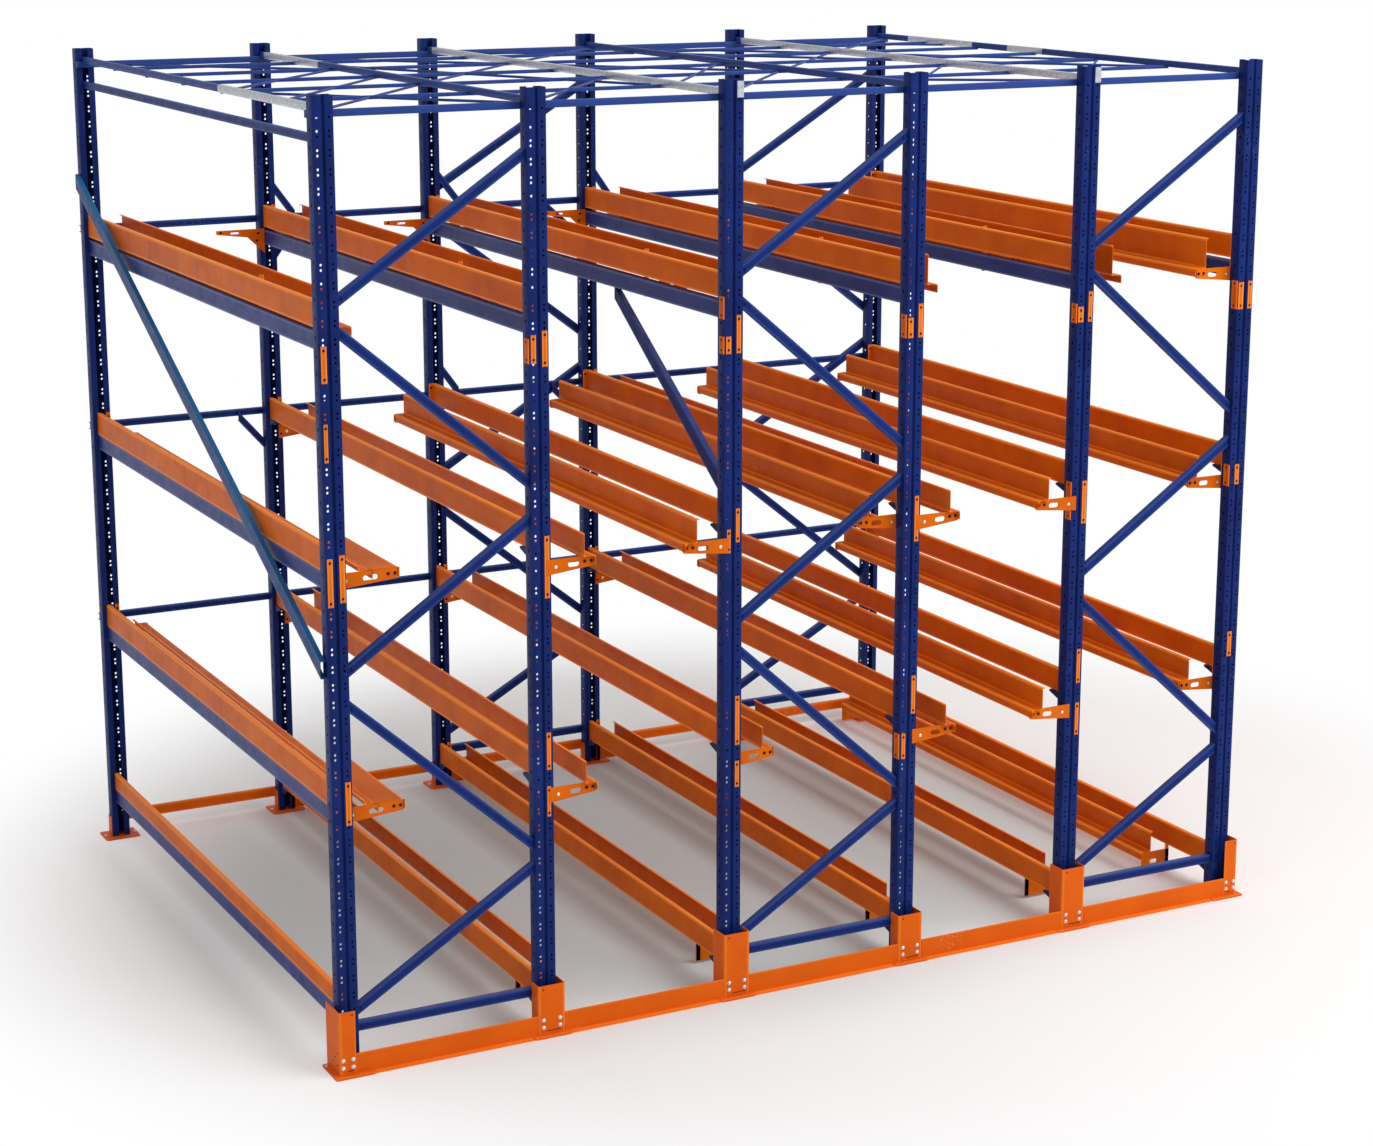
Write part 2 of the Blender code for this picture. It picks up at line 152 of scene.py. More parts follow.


# Polyester powder coat, sprayed on and baked: satin, slightly pebbled, with a slow drift of
# shade, pale dust on faces that look up and small rubbed spots that show the primer. Folds
# and rims take a lighter edge colour, a painted highlight where light catches an edge.
def powderCoat(name, slot, body, deep, rubbed, edge, roughness, dust, wear):
    material, tree, inputs, place = newMaterial(name, coat["shader"])
    drift = noise(tree, place, *coat["drift"])
    tone = blend(tree, spread(tree, drift, coat["driftBand"]), body, deep)
    # dust lies where the face looks up, thinned by a 90 mm noise
    normal = addNode(tree, "NewGeometry").outputs["Normal"]
    upward = addNode(tree, "SeparateXYZ", {}, [(0, normal)]).outputs["Z"]
    cloud = noise(tree, place, *coat["dust"])
    lying = combine(tree, "MULTIPLY", spread(tree, upward, coat["dustSlope"]), cloud)
    dusty = blend(tree, combine(tree, "MULTIPLY", lying, dust), tone, coat["dustColour"])
    # rubbed spots: the peaks of a 12 mm noise, kept only where a wide noise is high too
    speck = noise(tree, place, *coat["speck"])
    patch = noise(tree, place, *coat["patch"])
    rub = spread(tree, combine(tree, "MULTIPLY", speck, patch), coat["rubBand"], 0.0, wear)
    worn = blend(tree, rub, dusty, rubbed)
    # painted highlight: a per-point attribute mixes the lighter edge colour in along folds and rims
    foldHighlight = addNode(tree, "Attribute", {"attribute_name": "foldHighlight"}).outputs["Fac"]
    tree.links.new(blend(tree, foldHighlight, worn, edge), inputs["Base Color"])
    matt = spread(tree, cloud, noiseBand, roughness - coat["mattBelow"], roughness + coat["mattAbove"])
    tree.links.new(matt, inputs["Roughness"])
    peel = noise(tree, place, *coat["peel"])
    bump = addNode(tree, "Bump", coat["peelBump"], [("Height", peel)])
    tree.links.new(bump.outputs[0], inputs["Normal"])
    return material, slot


zinc = {
    "spangleSize": 0.012,        # metres, the crystals of a hot dip
    "grain": (0.0015, 2.0),
    "mattBelow": 0.08, "mattAbove": 0.1,
    "shader": {"Metallic": 0.85},
}


# Bright zinc: electroplated on bolts, hot dip with 12 mm spangle on the roof's clamps
def zincPlate(name, slot, bright, dull, roughness, spangle):
    material, tree, inputs, place = newMaterial(name, zinc["shader"])
    cells = addNode(tree, "TexVoronoi", {"Scale": 1 / zinc["spangleSize"]}, [("Vector", place)])
    grey = addNode(tree, "SeparateColor", {}, [(0, cells.outputs["Color"])]).outputs[0]
    tone = blend(tree, combine(tree, "MULTIPLY", grey, spangle), bright, dull)
    tree.links.new(tone, inputs["Base Color"])
    grain = noise(tree, place, *zinc["grain"])
    matt = spread(tree, grain, noiseBand, roughness - zinc["mattBelow"], roughness + zinc["mattAbove"])
    tree.links.new(matt, inputs["Roughness"])
    return material, slot


# body, deep, rubbed and edge colours, then roughness, dust and wear; the edge colour is the painted highlight
# on folds and rims
uprightCoat = powderCoat("upright_blue_powder_coat", "frame_blue", "#12296E", "#0C1F5A", "#4A5C98", "#284286",
                         0.42, 0.2, 0.4)
# painted sheen: the beams take a lighter copy of the frame blue, which stands in for the light their webs
# reflect
beamSheenCoat = powderCoat("beam_blue_powder_coat_painted_sheen", "frame_blue", "#2E3A7E", "#1F2A6A", "#6470A8", "#5866A0",
                      0.36, 0.3, 0.4)
braceCoat = powderCoat("brace_blue_powder_coat", "brace_blue", "#142B72", "#0F225E", "#4A5C98", "#2A4388",
                       0.4, 0.25, 0.4)
diagonalCoat = powderCoat("diagonal_petrol_blue_powder_coat", "brace_blue", "#0A3C7E", "#08326C", "#2C5C8C",
                          "#256094", 0.36, 0.2, 0.4)
railCoat = powderCoat("rail_orange_powder_coat", "rail_orange", "#E06B00", "#C85800", "#F09850", "#FF8C28",
                      0.42, 0.03, 0.3)
plateCoat = powderCoat("plate_orange_powder_coat", "rail_orange", "#E3640A", "#D65A06", "#EDA070", "#F07820",
                       0.42, 0.06, 0.5)
# bright and dull colours, then roughness and spangle
boltZinc = zincPlate("bolt_zinc_plate", "rail_orange", "#E6E8EC", "#C4C8D0", 0.3, 0.3)
darkBolt = zincPlate("bolt_black_oxide", "rail_orange", "#2A2624", "#181412", 0.45, 0.3)
clampZinc = zincPlate("clamp_hot_dip_zinc", "brace_blue", "#D2D6DC", "#A8AEB8", 0.38, 0.8)
print("materials made")


# Shapes: each one is an array of points, a list of face arrays and a fold value per point, which places the
# painted highlight

# An open path with its corners rounded: each corner becomes a parabola that leaves and
# meets its two sides at the cut, (1-t)^2 a + 2t(1-t) p + t^2 b. A cut takes at most 0.45 of
# the shorter side.
def roundedPath(corners, radius, steps=3):
    points = np.asarray(corners, float)
    before = points[:-2] - points[1:-1]
    after = points[2:] - points[1:-1]
    lengthBefore = np.linalg.norm(before, axis=1, keepdims=True)
    lengthAfter = np.linalg.norm(after, axis=1, keepdims=True)
    cut = np.minimum(radius, 0.45 * np.minimum(lengthBefore, lengthAfter))
    start = points[1:-1] + before / lengthBefore * cut
    end = points[1:-1] + after / lengthAfter * cut
    t = np.linspace(0, 1, steps + 1)[None, :, None]
    arcs = (1 - t) ** 2 * start[:, None] + 2 * t * (1 - t) * points[1:-1, None] + t ** 2 * end[:, None]
    return np.concatenate([points[:1], arcs.reshape(-1, 2), points[-1:]])


# The same path with flat points added on its straight stretches, a band's width from both ends
# of a stretch longer than three bands, so that a fold's painted highlight stays a band wide
def bandedPath(path):
    step = np.diff(path, axis=0)
    length = np.linalg.norm(step, axis=1)
    band = coat["highlightBand"]
    near = path[:-1] + step / length[:, None] * band
    far = path[1:] - step / length[:, None] * band
    rows = np.stack([path[:-1], near, far], 1)
    keep = np.stack([np.ones(len(step), bool), length > 3 * band, length > 3 * band], 1)
    return np.concatenate([rows[keep], path[-1:]])


# The path pushed sideways by the wall along the mean of its neighbouring normals
def pushedPath(path, wall):
    step = np.diff(path, axis=0)
    normal = np.stack([-step[:, 1], step[:, 0]], 1) / np.linalg.norm(step, axis=1, keepdims=True)
    before = np.concatenate([normal[:1], normal])
    after = np.concatenate([normal, normal[-1:]])
    share = 1 + (before * after).sum(1, keepdims=True)
    return path + (before + after) / share * wall


# A folded sheet's outline: the rounded path there, and pushed by the wall on the way back.
# A sheet is its wall and the radius of its bends.
def foldedOutline(corners, wall, bend):
    path = bandedPath(roundedPath(corners, bend))
    return np.concatenate([path, pushedPath(path, wall)[::-1]])


# A tube's outline: a closed rectangle with rounded corners, begun halfway along one side
def tubeOutline(width, height, radius=0.004):
    right = width / 2
    top = height / 2
    corners = [(0, -top), (right, -top), (right, top), (-right, top), (-right, -top), (0, -top)]
    return bandedPath(roundedPath(corners, radius, 2))[:-1][::-1]


# A channel's outline: web and two flanges, open toward +X of the outline
def channelOutline(width, depth, sheet):
    far = depth / 2
    top = width / 2
    return foldedOutline([(far, top), (-far, top), (-far, -top), (far, -top)], *sheet)


# An outline in space: its two numbers lie on the other two axes, in order, at one level of
# the given axis
def onAxis(outline, axis, level):
    places = np.empty((len(outline), 3))
    across = [index for index in range(3) if index != axis]
    places[:, across[0]] = outline[:, 0]
    places[:, across[1]] = outline[:, 1]
    places[:, axis] = level
    return places


# 1 where a closed ring turns by more than about 6 degrees, whose cosine is 0.995, so at a
# fold or a rim, and 0 on its flat stretches: the share of painted highlight at each point
def foldValues(ring):
    before = ring - np.roll(ring, 1, 0)
    after = np.roll(before, -1, 0)
    lengths = np.linalg.norm(before, axis=1) * np.linalg.norm(after, axis=1)
    return ((before * after).sum(1) < 0.995 * lengths).astype(float)


# Joins two rings of points with quads, and closes each ring with a strip of quads from
# each point of its first half to the one opposite
def sweep(ringA, ringB):
    count = len(ringA)
    index = np.arange(count)
    after = (index + 1) % count
    sides = np.stack([index, after, after + count, index + count], 1)
    half = np.arange(count // 2 - 1)
    cap = np.stack([half, half + 1, count - 2 - half, count - 1 - half], 1)
    return np.concatenate([ringA, ringB]), [sides, cap, cap + count], np.tile(foldValues(ringA), 2)


# A straight bar: the outline swept along one axis from low to high
def barAlong(outline, axis, low, high, offset=(0, 0, 0)):
    shape = sweep(onAxis(outline, axis, low), onAxis(outline, axis, high))
    return moved(shape, offset)


# A bar from start to end: the outline lies across it, and both ends are cut on a plane of
# the given axis, so each edge runs on along the bar until it meets that plane
def strut(outline, start, end, side, cutAxis):
    start = np.asarray(start, float)
    end = np.asarray(end, float)
    along = (end - start) / np.linalg.norm(end - start)
    side = np.asarray(side, float)
    rise = np.cross(along, side)
    across = outline[:, :1] * side + outline[:, 1:] * rise
    shift = -across[:, cutAxis:cutAxis + 1] / along[cutAxis] * along
    return sweep(start + across + shift, end + across + shift)


# A folded sheet swept along one axis; side -1 turns its wall to the path's other side
def foldedBar(corners, sheet, low, high, side=1, axis=1):
    wall, bend = sheet
    return barAlong(foldedOutline(corners, side * wall, bend), axis, low, high)


# A block from its lowest to its highest corner, its upright edges rounded by the bevel
def blockShape(low, high, bevel):
    outline = tubeOutline(high[0] - low[0], high[1] - low[1], bevel)
    middle = ((high[0] + low[0]) / 2, (high[1] + low[1]) / 2, 0)
    return barAlong(outline, 2, low[2], high[2], middle)


# A flat plate with holes: the outline and the holes are filled with triangles on both
# faces, and every edge gets a rim of quads. Axis is the one across the plate.
def plateShape(outline, holes, axis, low, high):
    loops = [np.asarray(outline, float)] + [np.asarray(hole, float) for hole in holes]
    flat = np.concatenate(loops)
    triangles = np.array(tessellate_polygon([[Vector((a, b, 0)) for a, b in loop] for loop in loops]))
    count = len(flat)
    rims = []
    first = 0
    for loop in loops:
        index = np.arange(len(loop)) + first
        after = np.roll(index, -1)
        rims.append(np.stack([index, after, after + count, index + count], 1))
        first += len(loop)
    points = np.concatenate([onAxis(flat, axis, low), onAxis(flat, axis, high)])
    return points, [triangles, triangles + count] + rims, np.zeros(len(points))


# A ring of points: centre + (r cos, h sin), its two halves drawn apart by the straight part
def ovalHole(x, z, halfWidth, halfHeight, count=16):
    turn = np.arange(count) / count * math.tau
    straight = max(halfWidth - halfHeight, 0)
    radius = min(halfWidth, halfHeight)
    along = radius * np.cos(turn) + np.sign(np.cos(turn)) * straight
    return np.stack([x + along, z + halfHeight * np.sin(turn)], 1)


def moved(shape, offset):
    return shape[0] + np.asarray(offset, float), shape[1], shape[2]


# Many shapes as one: their points in a row, and each shape's faces counted on from its first
def joinShapes(shapes):
    offsets = np.cumsum([0] + [len(shape[0]) for shape in shapes])
    faces = [face + offset for shape, offset in zip(shapes, offsets) for face in shape[1]]
    points, foldHighlights = (np.concatenate([shape[part] for shape in shapes]) for part in (0, 2))
    return points, faces, foldHighlights


pieces = []


# One object of the visual model, at the origin, with normals turned out and edges sharper
# than the angle kept sharp. Cover is a material with its slot.
def makePiece(name, shapes, cover, nodes=(), smoothAngle=40):
    material, slot = cover
    points, faces, foldHighlights = joinShapes(shapes)
    mesh = bpy.data.meshes.new(name)
    loops = np.concatenate([face.ravel() for face in faces])
    totals = np.concatenate([np.full(len(face), face.shape[1]) for face in faces])
    starts = np.cumsum(totals) - totals
    mesh.vertices.add(len(points))
    mesh.vertices.foreach_set("co", points.astype(np.float32).ravel())
    mesh.loops.add(len(loops))
    mesh.loops.foreach_set("vertex_index", loops.astype(np.int32))
    mesh.polygons.add(len(starts))
    mesh.polygons.foreach_set("loop_start", starts.astype(np.int32))
    mesh.attributes.new("foldHighlight", "FLOAT", "POINT").data.foreach_set("value", foldHighlights.astype(np.float32))
    mesh.update(calc_edges=True)
    mesh.validate()
    work = bmesh.new()
    work.from_mesh(mesh)
    bmesh.ops.recalc_face_normals(work, faces=work.faces)
    work.to_mesh(mesh)
    work.free()
    mesh.polygons.foreach_set("use_smooth", np.ones(len(mesh.polygons), dtype=bool))
    mesh.set_sharp_from_angle(angle=math.radians(smoothAngle))
    mesh.materials.append(material)
    piece = bpy.data.objects.new(name, mesh)
    scene.collection.objects.link(piece)
    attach(piece, "root")
    if nodes:
        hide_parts(*nodes)
    pieces.append(piece)


# A piece in the place of one node, named after it and its form
def dressNode(node, form, shapes, cover, smoothAngle=40):
    makePiece(f"{node}_{form}", shapes, cover, [node], smoothAngle)


# Bolts: a washer, a six-sided head and a domed top, as rings round the bolt's axis. A head's
# radius at an angle is the flat's distance over the cosine of the angle from that flat.
bolt = {
    "head": 0.0085, "height": 0.007, "washer": 0.011, "washerHeight": 0.0015, "sides": 12,
    "shoulder": 0.85, "top": 0.82,
}
# the sideHole and topHole sizes make small black discs, painted shade that stands in for the protectors'
# holes
boltSizes = {
    "strap": 0.8, "arm": 0.9, "armRoot": 0.95, "lacing": 0.9, "anchor": 1.1, "protector": 1.15,
    "sideHole": 0.4, "topHole": 0.45, "strip": 0.7, "flange": 0.6,
}
silverBolts = []
blackBolts = []
paintedBolts = []


def addBolt(store, kind, centre, axis=1, sign=-1):
    size = boltSizes[kind]
    sides = bolt["sides"]
    turn = np.arange(sides) / sides * math.tau
    head = bolt["head"] * math.cos(math.pi / 6) / np.cos((turn % (math.pi / 3)) - math.pi / 6)
    washer = np.full(sides, bolt["washer"])
    radius = np.stack([washer, washer, head, head, head * bolt["top"]]) * size
    rise = np.array([0.0, bolt["washerHeight"], bolt["washerHeight"], bolt["height"] * bolt["shoulder"],
                     bolt["height"]]) * size
    across = [index for index in range(3) if index != axis]
    grid = np.zeros((len(rise), sides, 3))
    grid[:, :, across[0]] = radius * np.cos(turn)
    grid[:, :, across[1]] = radius * np.sin(turn)
    grid[:, :, axis] = rise[:, None] * sign
    row, column = np.meshgrid(np.arange(len(rise) - 1) * sides, np.arange(sides), indexing="ij")
    after = (column + 1) % sides
    quads = np.stack([row + column, row + after, row + sides + after, row + sides + column], -1)
    ends = np.array([np.arange(sides), np.arange(sides) + sides * (len(rise) - 1)])
    points = grid.reshape(-1, 3) + np.asarray(centre, float)
    store.append((points, [quads.reshape(-1, 4), ends], np.zeros(len(points))))


# Uprights: rolled lipped sections with a groove down the web and rows of holes
upright = {
    "wall": 0.003, "bend": 0.005, "lip": 0.04, "groove": (0.009, 0.0045, 0.013), "foot": 0.0103,
    "row": 0.05, "webHole": (0.0065, 0.0075), "webShift": 0.011, "sideHole": (0.007, 0.011), "sideRows": 2,
    "holePoints": 12,
}


# One face of a sheet with holes: the path's points at every height, row by row, then a ring
# of points for each hole, centre + (a cos along the path, b sin upwards)
def sheetFace(path, levels, strips):
    count = upright["holePoints"]
    turn = math.pi + np.arange(count) / count * math.tau
    points = [np.column_stack([np.tile(path, (len(levels), 1)), np.repeat(levels, len(path))])]
    for strip, (halfWidth, halfHeight), chosen, shift in strips:
        step = path[strip + 1] - path[strip]
        along = step / np.linalg.norm(step)
        middle = (levels[chosen] + levels[chosen + 1]) / 2 + shift
        ring = np.empty((len(chosen), count, 3))
        ring[:, :, :2] = (path[strip] + path[strip + 1]) / 2 + along * halfWidth * np.cos(turn)[:, None]
        ring[:, :, 2] = middle[:, None] + halfHeight * np.sin(turn)
        points.append(ring.reshape(-1, 3))
    return np.concatenate(points)


# A folded sheet with holes: a face, and the same pushed inwards by the wall. A cell with a
# hole is a fan of triangles from its four corners to the ring, and the two faces are joined
# by quads round each hole and along every edge.
def perforatedSheet(path, wall, levels, strips):
    columns = len(path)
    rows = len(levels)
    count = upright["holePoints"]
    row, column = np.meshgrid(np.arange(rows - 1), np.arange(columns - 1), indexing="ij")
    corner = row * columns + column
    cells = np.stack([corner, corner + 1, corner + 1 + columns, corner + columns], -1)
    plain = np.ones((rows - 1, columns - 1), bool)
    for strip, _, chosen, _ in strips:
        plain[chosen, strip] = False
    corners = np.concatenate([cells[chosen, strip] for strip, _, chosen, _ in strips])
    ringStart = rows * columns + np.arange(len(corners)) * count
    # each corner fans out to a quarter of its ring, and meets the next corner at the quarter's end
    quarterCount = count // 4
    fans = []
    for quarter in range(4):
        for step in range(quarterCount * quarter, quarterCount * (quarter + 1)):
            fans.append(np.stack([corners[:, quarter], ringStart + (step + 1) % count, ringStart + step], 1))
        fans.append(np.stack([corners[:, quarter], corners[:, (quarter + 1) % 4],
                              ringStart + quarterCount * (quarter + 1) % count], 1))
    triangles = np.concatenate(fans)
    quads = cells[plain]
    ring = ringStart[:, None] + np.arange(count)
    loops = [np.stack([ring, np.roll(ring, -1, 1)], -1).reshape(-1, 2)]
    for edge in (np.arange(columns), (rows - 1) * columns + np.arange(columns),
                 np.arange(rows) * columns, np.arange(rows) * columns + columns - 1):
        loops.append(np.stack([edge[:-1], edge[1:]], 1))
    outer = sheetFace(path, levels, strips)
    total = len(outer)
    points = np.concatenate([outer, sheetFace(pushedPath(path, -wall), levels, strips)])
    joins = [np.column_stack([pair, pair[:, ::-1] + total]) for pair in loops]
    return points, [triangles, triangles + total, quads, quads + total] + joins, np.zeros(len(points))


# An upright from the floor up: lip, flange, web with its groove, flange and lip, with a row
# of heights for every pair of holes in the web and for every second one in the flanges
def uprightShape(x, rowY, facing):
    half = uprightHalf
    deep = uprightHalfDepth
    lip = half - upright["lip"]
    groove, floor, grooveDepth = upright["groove"]
    bed = grooveDepth - deep
    corners = [(lip, deep), (half, deep), (half, -deep), (groove, -deep), (floor, bed),
               (-floor, bed), (-groove, -deep), (-half, -deep), (-half, deep), (-lip, deep)]
    path = roundedPath(corners, upright["bend"], 2)
    count = int(round(rackHeight / upright["row"])) - 1
    levels = np.concatenate([[upright["foot"]], np.arange(1, count + 2) * upright["row"]])
    every = np.arange(2, count - 1)
    second = np.arange(3, count - 1, upright["sideRows"])
    pair = np.where(every % 2 == 0, upright["webShift"], -upright["webShift"])
    # the straight parts of the path lie between its arcs, three points to an arc
    strips = [(6, upright["webHole"], every, pair), (18, upright["webHole"], every, pair),
              (3, upright["sideHole"], second, 0.0), (21, upright["sideHole"], second, 0.0)]
    points, faces, foldHighlights = perforatedSheet(path, upright["wall"], levels, strips)
    points[:, 1] *= facing
    return moved((points, faces, foldHighlights), (x, rowY, 0))


for line, x in enumerate(lineX):
    for row, rowY, facing in (("front", frontRow, 1), ("rear", rearRow, -1)):
        shape = uprightShape(x, rowY, facing)
        dressNode(f"upright_{row}_{line + 1}", "section", [shape], uprightCoat, 30)
print("uprights rolled and punched")


# Rails: folded channels, and shelves on arms with an oval cut-out
rail = {
    "height": 0.15, "sheet": (0.004, 0.006), "webOffset": 0.03, "flange": 0.08, "topLip": 0.025,
    "bottomLip": 0.02, "lip": 0.05, "rim": 0.015, "overhang": 0.03,
    "topArmSetback": 1.1, "topSetbacks": (0.3, 0.7, 0.5, 0.3, 0.0, 0.0),
    "landingReach": 0.39, "landingLength": 0.8, "landingLap": 0.03, "landingLift": 0.001,
}
# second rails, level by level: distance from the line, width, drop of the top, drop of the shelf
secondRails = ((0.25, 0.07, 0.01, 0.2), (0.25, 0.07, 0.06, 0.2), (0.25, 0.07, 0.06, 0.2))
endSecondRails = ((0.2, 0.07, 0.01, 0.2), (0.16, 0.08, 0.125, 0.16), (0.16, 0.08, 0.125, 0.16))
arm = {
    "root": 0.09, "tip": 0.06, "wall": 0.006, "endSpace": 0.012, "cut": 0.012,
    "inner": 0.0285, "outer": 0.058, "strapWall": 0.005, "strapCorner": 0.001, "strapBolt": 0.03,
    "holeLengthShare": 0.13, "holeHalfHeight": 0.016, "holeDrop": 0.04,
    "tipBolts": (0.027, 0.067), "tipBoltDrop": 0.03, "rootBolt": 0.085, "rootBoltDrop": 0.045,
}


# A channel on the line: a short lip, the web, the bottom and a short lip on its far side
def firstRail(x, top, height, low, high):
    left = x - rail["webOffset"]
    right = left + rail["flange"]
    corners = [(left + rail["topLip"], top), (left, top), (left, top - height), (right, top - height),
               (right, top - height + rail["bottomLip"])]
    return foldedBar(corners, rail["sheet"], low, high)


# A rim, an upstand, the shelf that carries the pallet's edge and a lip down its far side
def secondRail(x, top, upstand, offset, width, side, low, high):
    shelf = top - upstand
    near = x + side * offset
    far = near + side * width
    rim = top - rail["sheet"][0]
    corners = [(near - side * rail["rim"], rim), (near, rim), (near, shelf), (far, shelf),
               (far, shelf - rail["lip"])]
    return foldedBar(corners, rail["sheet"], low, high, side)


# The plate that widens the first line's lower shelves at the front
def landing(x, shelf, edge, side, low):
    top = shelf + rail["landingLift"]
    far = x + side * rail["landingReach"]
    corners = [(x + side * (edge - rail["landingLap"]), top), (far, top), (far, top - rail["lip"])]
    return foldedBar(corners, rail["sheet"], low, low + rail["landingLength"], side)


# An arm: a plate that tapers from its root to its tip, with one cut corner and an oval hole
def armPlate(x, shelf, tip, side, low, high):
    flat = np.array([(arm["inner"], shelf), (tip, shelf), (tip, shelf - arm["tip"] + arm["cut"]),
                     (tip - arm["cut"], shelf - arm["tip"]), (arm["inner"], shelf - arm["root"])])
    free = tip - uprightHalf
    middle = uprightHalf + free / 2
    hole = ovalHole(middle, shelf - arm["holeDrop"], free * arm["holeLengthShare"], arm["holeHalfHeight"])
    return plateShape(flat * (side, 1) + (x, 0), [hole * (side, 1) + (x, 0)], 1, low, high)


# A strip against a wall, with rounded ends and a bolt at each end; way is 1 toward +Y
def strapPlate(x, side, top, bottom, wall, way, thickness):
    edges = sorted((side * arm["inner"], side * arm["outer"]))
    face = wall + way * thickness
    low, high = sorted((wall, face))
    for z in (top - arm["strapBolt"], bottom + arm["strapBolt"]):
        addBolt(blackBolts, "strap", (x + (edges[0] + edges[1]) / 2, face, z), 1, way)
    return blockShape((x + edges[0], low, bottom), (x + edges[1], high, top), arm["strapCorner"])


# Two black bolts near an arm's tip and a silver one near its root
def armBolts(x, shelf, tip, side, face):
    for inset in arm["tipBolts"]:
        addBolt(blackBolts, "arm", (x + side * (tip - inset), face, shelf - arm["tipBoltDrop"]))
    addBolt(silverBolts, "armRoot", (x + side * arm["rootBolt"], face, shelf - arm["rootBoltDrop"]))


# An arm, the strip that holds it and their bolts, all against one wall
def armSet(x, top, shelf, tip, side, wall, way):
    low, high = sorted((wall, wall + way * arm["wall"]))
    strap = strapPlate(x, side, top, shelf - arm["root"], wall, way, arm["strapWall"])
    armBolts(x, shelf, tip, side, low)
    return [armPlate(x, shelf, tip, side, low, high), strap]


# the sides on which each line carries second rails, level by level and at the floor
armSides = (
    ((1,), (1,), (1,), (1,), (1,), (-1,)),
    ((1,), (1,), (-1,), (-1, 1), (-1,), (-1,)),
    ((1,), (1,), (1,), (1,), (-1,), (-1,)),
)
floorSides = ((), (1,), (1,), (1,), (1,), (-1,))

for level, top in enumerate(railTops):
    for line, x in enumerate(lineX):
        offset, width, drop, shelfDrop = (secondRails if line else endSecondRails)[level]
        tip = offset + width + arm["endSpace"]
        shelf = top - shelfDrop
        landed = line == 0 and level > 0
        frontTip = rail["landingReach"] + arm["endSpace"] if landed else tip
        shapes = [firstRail(x, top, rail["height"], frontInner, rearInner)]
        for side in armSides[level][line]:
            bay = line if side > 0 else line - 1
            laced = bay in rack["lacedBays"]
            start = frontInner if laced else frontOuter - rail["overhang"]
            if level == 0:
                start = start + rail["topSetbacks"][line]
            shapes.append(secondRail(x, top - drop, shelfDrop - drop, offset, width, side, start, rearInner))
            shapes += armSet(x, top, shelf, tip, side, rearInner, -1)
            if landed:
                shapes.append(landing(x, shelf, offset + width, side, start))
            if laced or level == 0:
                place = frontInner + (rail["topArmSetback"] if level == 0 else 0)
                shapes += armSet(x, top, shelf, frontTip, side, place, 1)
                # on the top level only the last line shows an arm at the front as well
                if level == 0 and line == lineCount - 1:
                    shapes += armSet(x, top, shelf, tip, side, frontInner, 1)
            else:
                face = frontOuter - arm["wall"]
                shapes.append(armPlate(x, shelf, tip, side, face, frontOuter))
                armBolts(x, shelf, tip, side, face)
        dressNode(f"rails_line{line + 1}_level{level + 1}", "folded", shapes, railCoat)
print("guide rails folded")

# Floor rails: a pair with end plates, and on the first line one rail over a beam
floorRail = {
    "top": 0.33, "secondTop": 0.3, "upstand": 0.14, "secondOffset": 0.18, "secondWidth": 0.07,
    "secondSetback": 0.42, "sideTop": 0.47, "sideHeight": 0.115, "bracketLow": 0.02, "hangerTop": 0.198,
    "hole": 0.155, "holeSize": (0.03, 0.016),
}
for line, x in enumerate(lineX):
    if floorSides[line]:
        shapes = [firstRail(x, floorRail["top"], rail["height"], frontInner, rearInner)]
    else:
        shapes = [firstRail(x, floorRail["sideTop"], floorRail["sideHeight"], frontInner, rearInner)]
    base = floorRail["bracketLow"]
    shelf = floorRail["secondTop"] - floorRail["upstand"]
    start = frontInner + floorRail["secondSetback"]
    for side in floorSides[line]:
        shapes.append(secondRail(x, floorRail["secondTop"], floorRail["upstand"], floorRail["secondOffset"],
                                 floorRail["secondWidth"], side, start, rearInner))
        near = side * arm["inner"]
        left, right = sorted((near, side * (floorRail["secondOffset"] + floorRail["secondWidth"])))
        outline = [(x + left, base), (x + right, base), (x + right, shelf), (x + left, shelf)]
        hole = ovalHole(x + side * floorRail["hole"], (shelf + base) / 2, *floorRail["holeSize"])
        for low in (start, rearInner - arm["wall"]):
            shapes.append(plateShape(outline, [hole], 1, low, low + arm["wall"]))
        shapes.append(strapPlate(x, side, floorRail["top"], base, rearInner, -1, arm["wall"]))
        left, right = sorted((near, side * arm["outer"]))
        high = (x + right, start + arm["wall"], floorRail["hangerTop"])
        shapes.append(blockShape((x + left, start, base), high, arm["strapCorner"]))
    dressNode(f"floor_rail_line{line + 1}", "folded", shapes, railCoat)
print("floor rails folded")

# Blue wedge brackets that carry the first rails' ends where no beam does, on both rows
bracket = {"reach": 0.11, "root": 0.045, "tip": 0.012, "left": -0.045, "right": 0.055}
shapes = []
for line, x in enumerate(lineX[1:], 1):
    for top in (*railTops[1:], floorRail["top"]):
        under = top - rail["height"] - gap
        for wall, way in ((frontInner, 1), (rearInner, -1)):
            far = wall + way * bracket["reach"]
            outline = [(wall, under), (far, under),
                       (far, under - bracket["tip"]), (wall, under - bracket["root"])]
            shapes.append(plateShape(outline, [], 0, x + bracket["left"], x + bracket["right"]))
makePiece("rail_end_brackets", shapes, uprightCoat)

